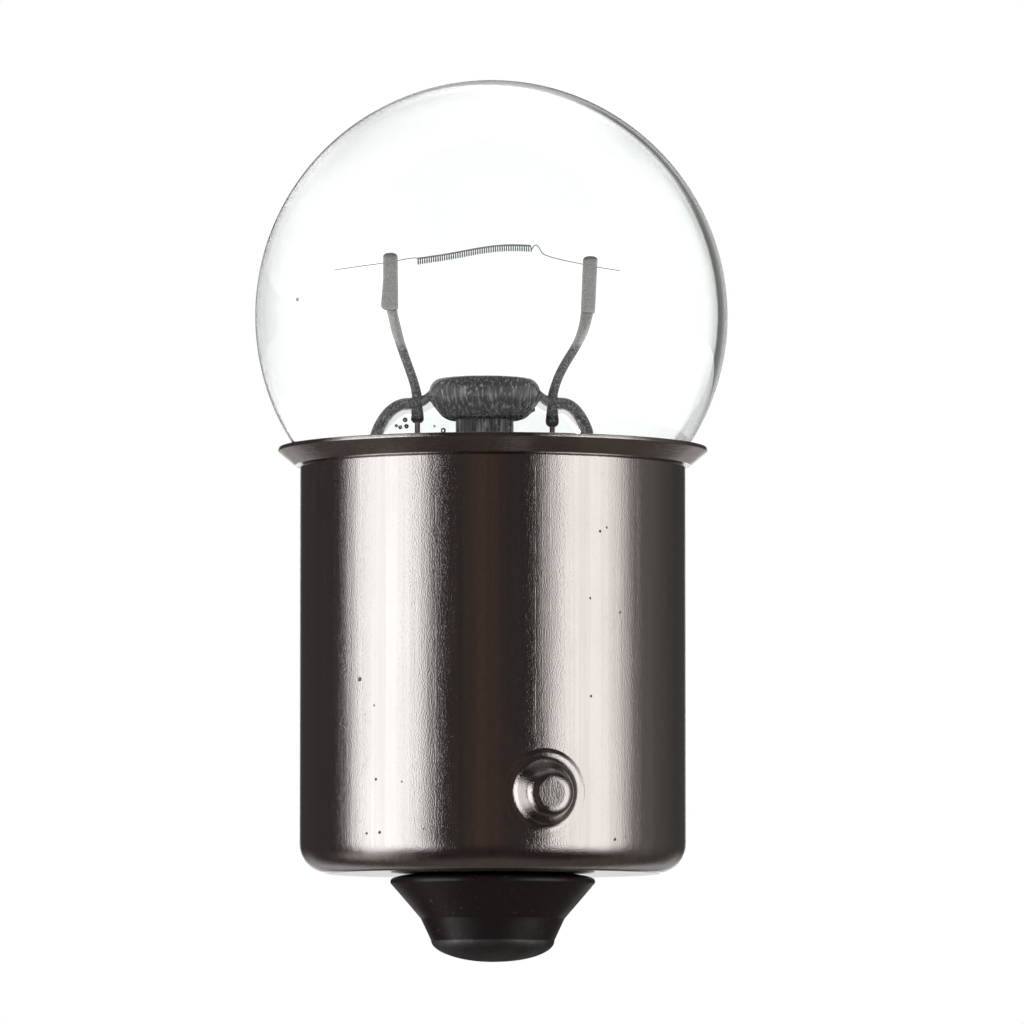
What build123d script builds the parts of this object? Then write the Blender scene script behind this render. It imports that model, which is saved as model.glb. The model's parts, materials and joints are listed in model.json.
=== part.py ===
"""Single filament bulb on a 15 mm twist-lock cap. Millimetres, globe up, z = 0 at the locking pins."""

import os
from math import cos, pi, radians, sin, sqrt

from build123d import *

# Cap shell, drawn from sheet
barrel_diameter = 15.1
sheet_thickness = 0.3
bottom_depth = 2.98  # pin centres to the cap's bottom face
shoulder_height = 12.94  # pin centres to the top of the straight barrel
bottom_corner_radius = 1.2
bottom_hole_diameter = 5.7
groove_depth = 0.12  # radial step from the barrel into the groove under the flange
groove_rise = 0.08
flange_overhang = 0.87  # flange's edge beyond the barrel
flange_rise = 0.54  # from the groove up to the flange's edge
flange_edge = 0.15  # height of the flange's leaning edge
flange_lean = 0.03  # how far that edge leans in towards its top

# Locking pins, drawn out of the shell
pin_diameter = 2.4
pin_flat_diameter = 1.12
pin_projection = 0.95
pin_root_radius = 0.2
pin_crown_rise = 0.5  # from the end of the straight wall to the flat tip

# Globe
globe_diameter = 18.56
globe_wall = 0.4
globe_foot_inset = 0.545  # from the flange's edge in to where the sphere turns towards the neck
globe_foot_rise = 0.36  # from the flange up to that foot
neck_turn_in = 0.75  # height over which the glass turns in to the neck
neck_clearance = 0.68  # from the glass neck to the cap's mouth, where the ground wire comes out
neck_wall = 0.7
neck_length = 9.9

# Mount: stem, leads and filament, turned from the pins and set a little off centre
mount_turn = -16.4
mount_offset = -0.25

# Stem press and flare
press_width = 8.85
press_left_bulge = 0.25  # how much further the press reaches on its left
press_thickness = 1.8
press_drop = 2.41  # top of the press below the globe's centre
press_height = 5.35
press_crown_drop = 0.05  # crown below the bowl's rim
press_shoulder_drop = 0.75  # shoulders below the bowl's rim
press_ramp = 0.68  # run of the slope from the shoulders up to the crown
press_bend_radius = 0.8
press_edge_radius = 0.7
flare_diameter = 9.6
flare_wall = 0.75
flare_cone = 2.0  # from the bottom of the press up to the end of the flare's cone
flare_rim_height = 0.8

# Exhaust tube and the blown bowl that it opens into at the top of the press
exhaust_diameter = 2.7
exhaust_bore = 1.5
exhaust_drop = 1.4  # melted tip below the neck's end
bowl_clearance = 0.255  # between the bowl's widest part and the leads
bowl_rim_diameter = 3.4
bowl_mouth_diameter = 3.0
bowl_rim_rise = 0.6  # from the bowl's widest part up to its rim
bowl_lip = 0.3  # inside, from the rim down to the wall
bowl_depth = 1.05  # outside, from the widest part down to the tube
bowl_cup_depth = 0.7  # the same inside

# Support leads, flattened and folded over the filament's tails
lead_diameter = 0.37
lead_spacing = 5.28
lead_seal_depth = 1.0  # lower end below the press's shoulder
lead_bend_radius = 0.5
lead_stub = 0.22  # straight below the clamp's neck
lead_dip = 0.15  # below the press's shoulder, where the lead stands upright again
left_knee_out = 0.29  # bend beyond the lead's foot
left_knee_rise = 1.08  # bend above the press's shoulder
right_knee_out = 0.22
right_knee_rise = 0.8
clamp_width = 0.55
clamp_leaf = 0.16
clamp_flap = 2.1  # length of the folded-over leaf
clamp_neck = 0.7  # length over which the wire turns flat
left_clamp_reach = 3.72
left_clamp_rise = 2.55  # top of the fold above the globe's centre
left_clamp_tilt = 0.0
left_clamp_shift = 0.25  # from the lead's centre out to the clamp's centre
right_clamp_reach = 4.08
right_clamp_rise = 2.41
right_clamp_tilt = 4.0
right_clamp_shift = 0.03

# Seal wires
seal_wire_diameter = 0.18
seal_wire_bend = 0.8
contact_wire_drop = 0.2  # below the neck's end, where the contact wire heads for the centre
ground_wire_drop = 1.4  # below the neck's end, where the ground wire turns out
ground_wire_offset = 0.15  # wire's end beyond the middle of the flange's upper face

# Filament, with heights above the globe's centre
filament_wire = 0.045
coil_diameter = 0.29
coil_half_turns = 103
coil_sides = 8  # straight runs in each turn
coil_start = -2.66
coil_end = 1.82
coil_start_rise = 2.26
coil_end_rise = 2.69
coil_arch = 0.12
coil_wave = 0.05  # sag of the left half and hump of the right half
coil_skew = 0.37  # left end behind the tails, right end ahead of them
left_tail_end = -5.93
left_tail_rise = 1.88
right_tail_end = 5.3
right_tail_rise = 1.84
tail_loop_pitch = 0.455  # the stretched turn at the right end

# Insulator and contact
insulator_top = 1.0  # below the pin centres
insulator_rim_diameter = 8.1
insulator_rim_drop = 0.3  # rim below the cap's bottom face
knee_diameter = 5.62
knee_drop = 1.74
contact_diameter = 4.82
contact_drop = 2.6
contact_plate_thickness = 0.3
eyelet_diameter = 1.8
eyelet_bore = 1.2
eyelet_height = 1.1
solder_height = 0.83
solder_rise = 0.6  # how far the solder runs up the eyelet

# Ground solder and cement
ground_solder_diameter = 0.46
cement_drop = 0.66  # from the barrel's shoulder down to the cement
cement_height = 6.4

barrel_radius = barrel_diameter / 2
inner_radius = barrel_radius - sheet_thickness
groove_radius = barrel_radius - groove_depth
groove_height = shoulder_height + groove_rise
flange_radius = barrel_radius + flange_overhang
flange_height = groove_height + flange_rise
mouth_radius = groove_radius - sheet_thickness
mouth_height = groove_height + sheet_thickness / 3
globe_radius = globe_diameter / 2
globe_foot_height = flange_height + globe_foot_rise
globe_foot_radius = flange_radius - globe_foot_inset
globe_centre_height = globe_foot_height + sqrt(globe_radius**2 - globe_foot_radius**2)
neck_radius = mouth_radius - neck_clearance
neck_inner = neck_radius - neck_wall
neck_top = globe_foot_height - neck_turn_in
neck_bottom = neck_top - neck_length
press_top = globe_centre_height - press_drop
press_bottom = press_top - press_height
press_crown_height = press_top - press_crown_drop
press_shoulder_height = press_top - press_shoulder_drop
bowl_height = press_top - bowl_rim_rise
flare_radius = flare_diameter / 2
flare_top = press_bottom + flare_cone
exhaust_tip = neck_bottom - exhaust_drop
lead_x = lead_spacing / 2
bowl_radius = lead_x - lead_diameter / 2 - bowl_clearance
lead_end_height = press_shoulder_height - lead_seal_depth
leaf_centre = filament_wire / 2 + clamp_leaf / 2
contact_wire_turn = neck_bottom - contact_wire_drop
ground_wire_turn = neck_bottom - ground_wire_drop
ground_wire_reach = (mouth_radius + flange_radius) / 2 + ground_wire_offset
wire_gap_radius = (neck_radius + inner_radius) / 2
wire_foot = -bottom_depth - contact_drop - solder_height / 3
cement_top = shoulder_height - cement_drop
touch = 0.01  # closer than this counts as the same place


def turned(profile):
    """Revolve a profile drawn as (radius, height) about the lamp's axis."""
    return revolve(Plane.XZ * profile, Axis.Z)


def round_corner(profile, point, radius):
    """Round the corner of a flat profile that lies nearest to a point."""
    vertex = profile.vertices().sort_by_distance((point[0], point[1], 0))[0]
    return fillet(vertex, radius)


def on_mount(part):
    """Set a piece built about its own centre into the lamp's turned, off-centre mount."""
    return Rot(0, 0, mount_turn) * Pos(mount_offset, 0, 0) * part


def wire_along(points, diameter, bend):
    """Round wire through points, with rounded bends."""
    path = FilletPolyline(*points, radius=bend)
    section = Plane(path @ 0, z_dir=path % 0) * Circle(diameter / 2)
    return sweep(section, path=path)


def sphere_radius_at(height, wall):
    """Radius of the globe's surface, or of its inside, at a height."""
    return sqrt((globe_radius - wall) ** 2 - (height - globe_centre_height) ** 2)


def globe_side(wall, neck):
    """One side of the glass from the top of the globe to the end of the neck."""
    radius = globe_radius - wall
    foot = (sphere_radius_at(globe_foot_height, wall), globe_foot_height)
    down = (foot[1] - globe_centre_height) / radius, -foot[0] / radius
    top = (0, globe_centre_height + radius)
    side = (radius, globe_centre_height)
    crown = ThreePointArc(top, (radius * cos(pi / 4), globe_centre_height + radius * sin(pi / 4)), side)
    belly = RadiusArc(side, foot, radius)
    turn_in = Spline(foot, (neck, neck_top), tangents=[down, (0, -1)])
    straight = Line((neck, neck_top), (neck, neck_bottom))
    return crown, belly, turn_in, straight


def make_glass_envelope():
    outer = globe_side(0, neck_radius)
    inner = globe_side(globe_wall, neck_inner)
    rim = Line((neck_radius, neck_bottom), (neck_inner, neck_bottom))
    crown = Line((0, globe_centre_height + globe_radius), (0, globe_centre_height + globe_radius - globe_wall))
    return turned(make_face([*outer, rim, *inner, crown]))


def make_shell_wall():
    bottom = -bottom_depth
    outline = Polyline(
        (bottom_hole_diameter / 2, bottom),
        (barrel_radius, bottom),
        (barrel_radius, shoulder_height),
        (groove_radius, groove_height),
        (flange_radius, flange_height),
        (flange_radius - flange_lean, flange_height + flange_edge),
        (mouth_radius, mouth_height),
        (inner_radius, shoulder_height - sheet_thickness / 2),
        (inner_radius, bottom + sheet_thickness),
        (bottom_hole_diameter / 2, bottom + sheet_thickness),
        close=True,
    )
    profile = make_face(outline)
    profile = round_corner(profile, (barrel_radius, bottom), bottom_corner_radius)
    inside = bottom_corner_radius - sheet_thickness
    profile = round_corner(profile, (inner_radius, bottom + sheet_thickness), inside)
    profile = round_corner(profile, (barrel_radius, shoulder_height), groove_rise / 2)
    profile = round_corner(profile, (groove_radius, groove_height), groove_rise / 2)
    return turned(profile)


def make_pin():
    """Pin on the lamp's axis: a straight wall, a rounded crown and a flat tip."""
    radius = pin_diameter / 2
    flat = pin_flat_diameter / 2
    tip = barrel_radius + pin_projection
    wall = tip - pin_crown_rise
    profile = make_face(
        [
            Line((0, 0), (radius, 0)),
            Line((radius, 0), (radius, wall)),
            EllipticalCenterArc((flat, wall), radius - flat, pin_crown_rise, 0, arc_size=90),
            Line((flat, tip), (0, tip)),
            Line((0, tip), (0, 0)),
        ]
    )
    return turned(profile)


def make_cap_shell():
    shell = make_shell_wall()
    for side in (-1, 1):
        across = Plane((0, 0, 0), z_dir=(0, side, 0))
        shell += across * make_pin() - Cylinder(inner_radius, barrel_diameter)
        roots = shell.edges().filter_by(
            lambda e: abs(side * e.center().Y - barrel_radius) < sheet_thickness / 2
            and abs(e.bounding_box().size.Z - pin_diameter) < 2 * touch
        )
        shell = fillet(roots, pin_root_radius)
        hollow = across * Cylinder(
            pin_diameter / 2 - sheet_thickness,
            barrel_radius + pin_projection - sheet_thickness,
            align=(Align.CENTER, Align.CENTER, Align.MIN),
        )
        shell -= hollow
    return shell


def make_left_lead():
    knee = (lead_x + left_knee_out, press_shoulder_height + left_knee_rise)
    return support_lead(-1, left_clamp_reach, left_clamp_rise, left_clamp_tilt, left_clamp_shift, knee)


def make_right_lead():
    knee = (lead_x + right_knee_out, press_shoulder_height + right_knee_rise)
    return support_lead(1, right_clamp_reach, right_clamp_rise, right_clamp_tilt, right_clamp_shift, knee)


def support_lead(side, reach, rise, tilt, shift, knee):
    """Lead wire from the press up to a flattened end that is folded over the filament's tail."""
    top = globe_centre_height + rise
    fold = filament_wire / 2 + clamp_leaf
    height = clamp_flap + fold
    back = Pos(leaf_centre, height / 2 - fold / 2) * Rectangle(clamp_leaf, height - fold)
    front = Pos(-leaf_centre, height - fold - clamp_flap / 2) * Rectangle(clamp_leaf, clamp_flap)
    ring = Pos(0, height - fold) * (Circle(fold) - Circle(filament_wire / 2))
    half = ring & Pos(0, height - fold / 2) * Rectangle(2 * fold, fold)
    hairpin = Plane.YZ * (back + front + half)
    clamp = extrude(hairpin, clamp_width / 2, both=True)
    flat_end = Plane((0, leaf_centre, 0)) * Rectangle(clamp_width, clamp_leaf)
    round_end = Plane((-side * shift, leaf_centre, -clamp_neck)) * Circle(lead_diameter / 2)
    clamp += loft([round_end.face(), flat_end.face()])
    lean = radians(tilt)
    foot = side * reach - side * sin(lean) * height / 2
    place = Pos(foot, 0, top - height * cos(lean)) * Rot(0, side * tilt, 0)
    start = (place * Pos(-side * shift, leaf_centre, -clamp_neck)).position
    below = (place * Pos(-side * shift, leaf_centre, -clamp_neck - lead_stub)).position
    points = [
        (start.X, leaf_centre, start.Z),
        (below.X, leaf_centre, below.Z),
        (side * knee[0], leaf_centre, knee[1]),
        (side * lead_x, leaf_centre, press_shoulder_height - lead_dip),
        (side * lead_x, leaf_centre, lead_end_height),
    ]
    return on_mount(place * clamp + wire_along(points, lead_diameter, lead_bend_radius))


def left_clamp_exit():
    """Where the left tail comes out from between the clamp's leaves, on its way to the coil."""
    x = filament_wire + clamp_width / 2 - left_clamp_reach
    along = (x - left_tail_end) / (coil_start - left_tail_end)
    rise = left_tail_rise + (coil_start_rise + coil_diameter / 2 - left_tail_rise) * along
    return Vector(x, 0, globe_centre_height + rise)


def right_clamp_exit():
    """Where the right tail comes out from between the clamp's leaves."""
    x = right_clamp_reach - clamp_width / 2 - filament_wire
    along = (right_tail_end - x) / (right_tail_end - coil_end - tail_loop_pitch)
    rise = right_tail_rise + (coil_end_rise - coil_diameter / 2 - right_tail_rise) * along
    return Vector(x, 0, globe_centre_height + rise)


def filament_path():
    """Points of the wire with the direction that faces away from the coil's axis at each."""
    radius = coil_diameter / 2 - filament_wire / 2
    steps = coil_half_turns * coil_sides // 2
    last = steps + coil_sides
    points = [
        (Vector(left_tail_end, 0, globe_centre_height + left_tail_rise), Vector(0, 0, 1)),
        (left_clamp_exit(), Vector(0, 0, 1)),
    ]
    for step in range(last + 1):
        along = min(step, steps) / steps
        extra = max(step - steps, 0) / coil_sides
        x = coil_start + (coil_end - coil_start) * along + tail_loop_pitch * extra
        z = globe_centre_height + coil_start_rise + (coil_end_rise - coil_start_rise) * along
        z += 4 * coil_arch * along * (1 - along) - coil_wave * sin(2 * pi * along)
        y = coil_skew * (1 - 2 * along)
        angle = 2 * pi * step / coil_sides
        out = Vector(0, sin(angle), cos(angle))
        points.append((Vector(x, y, z) + out * radius, out))
    points.append((right_clamp_exit(), Vector(0, 0, -1)))
    points.append((Vector(right_tail_end, 0, globe_centre_height + right_tail_rise), Vector(0, 0, -1)))
    return points


def make_filament():
    path = filament_path()
    half = filament_wire / 2
    sections = []
    for index, (point, up) in enumerate(path):
        before = path[max(index - 1, 0)][0]
        after = path[min(index + 1, len(path) - 1)][0]
        into = (point - before) if index > 0 else (after - point)
        onward = (after - point) if index < len(path) - 1 else (point - before)
        first = up.cross(into).normalized()
        second = up.cross(onward).normalized()
        across = (first + second) / (1 + first.dot(second))
        corners = [
            point + up * half + across * half,
            point - up * half + across * half,
            point - up * half - across * half,
            point + up * half - across * half,
        ]
        sections.append(Wire.make_polygon(corners, close=True))
    return on_mount(Part() + Solid.make_loft(sections, ruled=True))


def make_contact_wire():
    centre = -mount_offset
    points = [
        (lead_x, leaf_centre, lead_end_height),
        (lead_x, leaf_centre, contact_wire_turn),
        (centre, 0, -insulator_top + seal_wire_bend),
        (centre, 0, wire_foot),
    ]
    return on_mount(wire_along(points, seal_wire_diameter, seal_wire_bend))


def flange_top(radius):
    """Height of the flange's upper face at a radius."""
    slope = (flange_height + flange_edge - mouth_height) / (flange_radius - flange_lean - mouth_radius)
    return mouth_height + slope * (radius - mouth_radius)


def make_ground_wire():
    outside = -wire_gap_radius - mount_offset
    mouth = -(mouth_radius - seal_wire_diameter) - mount_offset
    end_height = flange_top(ground_wire_reach) + seal_wire_diameter * 0.6
    points = [
        (-lead_x, leaf_centre, lead_end_height),
        (-lead_x, leaf_centre, ground_wire_turn),
        (outside, 0, ground_wire_turn - seal_wire_bend),
        (outside, 0, cement_top),
        (mouth, 0, mouth_height + seal_wire_diameter / 3),
        (-ground_wire_reach - mount_offset, 0, end_height),
    ]
    return on_mount(wire_along(points, seal_wire_diameter, seal_wire_diameter))


def press_outline():
    """Front view of the press: rounded shoulders that the leads leave, and a raised crown between them."""
    half = press_width / 2
    left = half + press_left_bulge
    shoulder = lead_x + lead_diameter
    flat = lead_x - lead_diameter / 2
    crown = flat - press_ramp
    rise = press_shoulder_height - flare_top
    edges = [
        Line((-left, press_bottom), (half, press_bottom)),
        Line((half, press_bottom), (half, flare_top)),
        EllipticalCenterArc((shoulder, flare_top), half - shoulder, rise, 0, arc_size=90),
        Line((shoulder, press_shoulder_height), (flat, press_shoulder_height)),
        Line((flat, press_shoulder_height), (crown, press_crown_height)),
        Line((crown, press_crown_height), (-crown, press_crown_height)),
        Line((-crown, press_crown_height), (-flat, press_shoulder_height)),
        Line((-flat, press_shoulder_height), (-shoulder, press_shoulder_height)),
        EllipticalCenterArc((-shoulder, flare_top), left - shoulder, rise, 90, arc_size=90),
        Line((-left, flare_top), (-left, press_bottom)),
    ]
    outline = make_face(edges)
    for side in (-1, 1):
        outline = round_corner(outline, (side * flat, press_shoulder_height), press_bend_radius)
        outline = round_corner(outline, (side * crown, press_crown_height), press_bend_radius)
    return outline


def make_press_slab():
    slab = extrude(Plane.XZ * press_outline(), press_thickness / 2, both=True)
    edges = slab.edges().filter_by(lambda e: e.bounding_box().size.Y < touch)
    edges = edges.filter_by(lambda e: e.bounding_box().max.Z > press_bottom + touch)
    return fillet(edges, press_edge_radius)


def make_bowl():
    """Tube through the press, widening at its top to a blown bowl with a rounded rim."""
    bore = exhaust_bore / 2
    tube = exhaust_diameter / 2
    mouth = bowl_mouth_diameter / 2
    rim = bowl_rim_diameter / 2
    lip = press_top - bowl_lip
    inside = [
        EllipticalCenterArc((rim, lip), rim - mouth, bowl_lip, 90, arc_size=90),
        Line((mouth, lip), (mouth, bowl_height)),
        EllipticalCenterArc((bore, bowl_height), mouth - bore, bowl_cup_depth, 270, arc_size=90),
        Line((bore, bowl_height - bowl_cup_depth), (bore, press_bottom)),
    ]
    outside = [
        Line((tube, press_bottom), (tube, bowl_height - bowl_depth)),
        EllipticalCenterArc((tube, bowl_height), bowl_radius - tube, bowl_depth, 270, arc_size=90),
        EllipticalCenterArc((rim, bowl_height), bowl_radius - rim, bowl_rim_rise, 0, arc_size=90),
    ]
    return turned(make_face([*inside, Line((bore, press_bottom), (tube, press_bottom)), *outside]))


def make_channel():
    """Room for the bowl in the press, out to the middle of the bowl's wall."""
    tube_middle = (exhaust_bore + exhaust_diameter) / 4
    bowl_middle = (bowl_mouth_diameter / 2 + bowl_radius) / 2
    rim = bowl_rim_diameter / 2
    outline = Polyline(
        (0, press_bottom),
        (tube_middle, press_bottom),
        (tube_middle, bowl_height - (bowl_cup_depth + bowl_depth) / 2),
        (bowl_middle, bowl_height - bowl_cup_depth / 2),
        (rim, press_top),
        (rim, press_top + bowl_lip),
        (0, press_top + bowl_lip),
        close=True,
    )
    return turned(make_face(outline))


def make_flare():
    inner = flare_radius - flare_wall
    seat = neck_bottom + flare_rim_height
    outline = Polyline(
        (neck_inner, neck_bottom),
        (neck_inner, seat),
        (flare_radius, seat + flare_rim_height),
        (flare_radius, press_bottom),
        (press_thickness / 2, flare_top),
        (0, flare_top),
        (0, press_bottom),
        (exhaust_diameter / 2 + abs(mount_offset), press_bottom),
        (inner, press_bottom - flare_wall),
        (inner, seat),
        (inner + flare_wall / 2, neck_bottom),
        close=True,
    )
    return turned(make_face(outline))


def make_glass_stem(embedded):
    press = make_press_slab() - make_channel() + make_bowl()
    tube = Pos(0, 0, press_bottom) * Cylinder(exhaust_bore / 2, 2 * press_top)
    flare = Pos(-mount_offset, 0, 0) * make_flare() - tube
    stem = on_mount(press + flare)
    for piece in embedded:
        stem -= piece
    return stem


def make_exhaust_tube():
    radius = exhaust_diameter / 2
    bore = exhaust_bore / 2
    outer = make_face(
        [
            Line((0, exhaust_tip), (0, press_bottom)),
            Line((0, press_bottom), (radius, press_bottom)),
            Line((radius, press_bottom), (radius, exhaust_tip + exhaust_diameter)),
            Spline(
                (radius, exhaust_tip + exhaust_diameter),
                (0, exhaust_tip),
                tangents=[(0, -1), (-1, 0)],
            ),
        ]
    )
    seal = exhaust_tip + exhaust_diameter / 2
    channel = make_face(
        [
            Line((0, seal), (0, press_bottom)),
            Line((0, press_bottom), (bore, press_bottom)),
            Line((bore, press_bottom), (bore, seal + exhaust_bore)),
            Spline((bore, seal + exhaust_bore), (0, seal), tangents=[(0, -1), (-1, -0.5)]),
        ]
    )
    return on_mount(turned(outer - channel))


def make_insulator():
    bottom = -bottom_depth
    hole = bottom_hole_diameter / 2
    rim = insulator_rim_diameter / 2
    rim_height = bottom - insulator_rim_drop
    seat = bottom - contact_drop
    shoulder = EllipticalCenterArc((hole, rim_height), rim - hole, insulator_rim_drop, 0, arc_size=90)
    outer = make_face(
        [
            Line((0, -insulator_top), (inner_radius, -insulator_top)),
            Line((inner_radius, -insulator_top), (inner_radius, bottom + sheet_thickness)),
            Line((inner_radius, bottom + sheet_thickness), (hole, bottom + sheet_thickness)),
            Line((hole, bottom + sheet_thickness), (hole, bottom)),
            shoulder,
            Line((rim, rim_height), (knee_diameter / 2, bottom - knee_drop)),
            Line((knee_diameter / 2, bottom - knee_drop), (contact_diameter / 2, seat)),
            Line((contact_diameter / 2, seat), (0, seat)),
            Line((0, seat), (0, -insulator_top)),
        ]
    )
    inside = bottom_corner_radius - sheet_thickness
    outer = round_corner(outer, (inner_radius, bottom + sheet_thickness), inside)
    outer = round_corner(outer, (rim, rim_height), insulator_rim_drop / 2)
    return turned(outer) - turned(contact_plate_profile(0)) - turned(wire_passage())


def contact_plate_profile(bore):
    """Plate and eyelet together, with or without the eyelet's bore."""
    seat = -bottom_depth - contact_drop
    plate = seat + contact_plate_thickness
    plate_radius = contact_diameter / 2 - contact_plate_thickness
    outline = Polyline(
        (bore, seat),
        (plate_radius, seat),
        (plate_radius, plate),
        (eyelet_diameter / 2, plate),
        (eyelet_diameter / 2, seat + eyelet_height),
        (bore, seat + eyelet_height),
        close=True,
    )
    return make_face(outline)


def wire_passage():
    """Funnel through the black glass above the eyelet."""
    low = -bottom_depth - contact_drop + eyelet_height
    outline = Polyline(
        (0, low),
        (eyelet_bore / 2, low),
        (eyelet_bore / 2, -bottom_depth),
        (eyelet_diameter / 2 + eyelet_bore / 2, -insulator_top),
        (0, -insulator_top),
        close=True,
    )
    return make_face(outline)


def make_contact_plate():
    return turned(contact_plate_profile(eyelet_bore / 2))


def make_contact_solder():
    seat = -bottom_depth - contact_drop
    radius = contact_diameter / 2
    bore = eyelet_bore / 2
    wire = seal_wire_diameter / 2
    profile = make_face(
        [
            EllipticalCenterArc((0, seat), radius, solder_height, 270, arc_size=90),
            Line((0, seat - solder_height), (0, wire_foot)),
            Line((0, wire_foot), (wire, wire_foot)),
            Line((wire, wire_foot), (wire, seat + solder_rise)),
            Line((wire, seat + solder_rise), (bore, seat + solder_rise)),
            Line((bore, seat + solder_rise), (bore, seat)),
            Line((bore, seat), (radius, seat)),
        ]
    )
    return turned(profile)


def make_ground_solder(solids):
    height = flange_top(ground_wire_reach) + ground_solder_diameter * 0.4
    end = Pos(-ground_wire_reach - mount_offset, 0, height)
    drop = on_mount(end * Sphere(ground_solder_diameter / 2))
    for solid in solids:
        drop -= solid
    return drop


def make_basing_cement(wire):
    ring = Cylinder(inner_radius, cement_height) - Cylinder(neck_radius, cement_height)
    return Pos(0, 0, cement_top - cement_height / 2) * ring - wire


def main():
    pieces = {}
    pieces["glass_envelope"] = make_glass_envelope()
    pieces["cap_shell"] = make_cap_shell()
    pieces["left_lead"] = make_left_lead()
    pieces["right_lead"] = make_right_lead()
    pieces["filament"] = make_filament()
    pieces["contact_wire"] = make_contact_wire()
    pieces["ground_wire"] = make_ground_wire()
    sealed = [pieces[name] for name in ("left_lead", "right_lead", "contact_wire", "ground_wire")]
    pieces["glass_stem"] = make_glass_stem(sealed)
    pieces["exhaust_tube"] = make_exhaust_tube()
    pieces["insulator"] = make_insulator()
    pieces["contact_plate"] = make_contact_plate()
    pieces["contact_solder"] = make_contact_solder()
    touched = [pieces[name] for name in ("glass_envelope", "cap_shell", "ground_wire")]
    pieces["ground_solder"] = make_ground_solder(touched)
    pieces["basing_cement"] = make_basing_cement(pieces["ground_wire"])
    os.makedirs("parts", exist_ok=True)
    for name, piece in pieces.items():
        piece.label = name
        export_step(piece, f"parts/{name}.step")


main()
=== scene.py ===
import json
import math

import bmesh
import bpy
from mathutils import Matrix, Vector


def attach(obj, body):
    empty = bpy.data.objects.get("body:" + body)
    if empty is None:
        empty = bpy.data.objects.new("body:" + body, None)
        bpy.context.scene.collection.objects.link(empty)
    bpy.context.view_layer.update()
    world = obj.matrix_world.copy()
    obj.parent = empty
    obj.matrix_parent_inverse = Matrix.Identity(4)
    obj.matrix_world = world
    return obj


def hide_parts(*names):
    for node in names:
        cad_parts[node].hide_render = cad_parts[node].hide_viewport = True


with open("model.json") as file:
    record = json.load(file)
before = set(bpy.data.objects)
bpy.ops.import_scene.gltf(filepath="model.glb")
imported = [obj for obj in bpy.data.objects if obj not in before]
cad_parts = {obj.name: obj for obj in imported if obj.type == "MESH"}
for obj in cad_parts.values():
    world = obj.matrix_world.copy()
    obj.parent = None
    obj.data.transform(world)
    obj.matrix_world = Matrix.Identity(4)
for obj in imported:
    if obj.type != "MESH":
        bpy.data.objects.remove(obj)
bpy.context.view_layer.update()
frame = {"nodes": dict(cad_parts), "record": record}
nodes = frame["nodes"]

scene = bpy.context.scene
scene.view_settings.view_transform = "Standard"

# Units
MM = 0.001
MICRON = 0.001 * MM

# Wires and press, which are turned and set off from the cap's axis: degrees and millimetres
MOUNT_TURN = -16.4
MOUNT_OFFSET = -0.25
MOUNT_LIFT = -0.11
MOUNT_CENTRE = 18.94
TURN = Matrix.Rotation(math.radians(MOUNT_TURN), 3, "Z")
ACROSS = TURN @ Vector((1, 0, 0))
BACKWARD = TURN @ Vector((0, 1, 0))

# Camera: degrees and metres, with the sensor in millimetres
PHOTO_AZIMUTH = -15.6
PHOTO_ELEVATION = -3.9
PHOTO_DISTANCE = 340 * MM
PHOTO_FIELD = 40.12 * MM
PHOTO_TARGET = TURN @ Vector((0.752, 0, 11.197)) * MM
SENSOR_WIDTH = 36

# Cap: millimetres
BARREL_RADIUS = 7.55
BARREL_TOP = 12.94
BARREL_BOTTOM = -2.98
SHEET = 0.3
HOLE_RADIUS = 2.85
BOTTOM_ROUNDING = 1.2
INNER_ROUNDING = 0.9
TOP_ROUNDING = 0.05
ROOT_ROUNDING = 0.04
SHARP_ROUNDING = 0.03
FLANGE_ROOT = (7.13, 13.12)
FLANGE_RIM_TOP = (8.39, 13.71)
FLANGE_RIM_FOOT = (8.42, 13.56)
FLANGE_LIP = (7.75, 13.0)
GROOVE = (7.43, 13.02)

# Locking pins: lengths in millimetres, angles in radians, and the last two are ratios
PIN_RISE = 0.95
PIN_FLAT = 0.5
PIN_SHOULDER = 0.5
PIN_ROOT = 0.32
PIN_DROOP = 0.1
PIN_SLOPE = math.radians(71)
PIN_LIP = 0.24
PIN_LIP_RISE = 0.08
PIN_LIP_PLACE = math.radians(70)
PIN_SKIRT = 0.004
PIN_SINK = 0.03
PIN_NARROW = 0.98
PIN_STRETCH = 0.14

# Solder dome of the contact: millimetres
DOME_TOP = -5.35
DOME_NECK = 2.3
DOME_RADIUS = 2.41
DOME_EDGE = -5.58
DOME_DEPTH = 0.83
DOME_WAVE_TOP = -5.45
DOME_WAVE = 0.02
DOME_FINE_WAVE = 0.012
DOME_CALM = 1.5

# Globe, whose lean and shift are in the frame that is turned with the wires: millimetres
GLOBE_CENTRE = 18.83
GLOBE_RADIUS = 9.28
GLOBE_WALL = 0.2
GLOBE_FOOT = 13.58
GLOBE_LEAN = Vector((-0.055, 0, 0.06))
WALL_SHIFT = Vector((-0.14, 0, 0.03))
LEAN_START = 12.9
LEAN_RUN = 0.6
NECK_RADIUS = 6.45
NECK_INSIDE = 5.75
NECK_TOP = 12.95
NECK_MIDDLE = 9
NECK_BOTTOM = 3.27
NECK_BEND = 0.9

# Bowl and tube of the stem, in the frame of the press: millimetres
BOWL_HEIGHT = 15.93
BOWL_DEPTH = 1.05
BOWL_RADIUS = 2.2
TUBE_RADIUS = 1.35
THIN_EDGE_PLACE = 2.1

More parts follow.
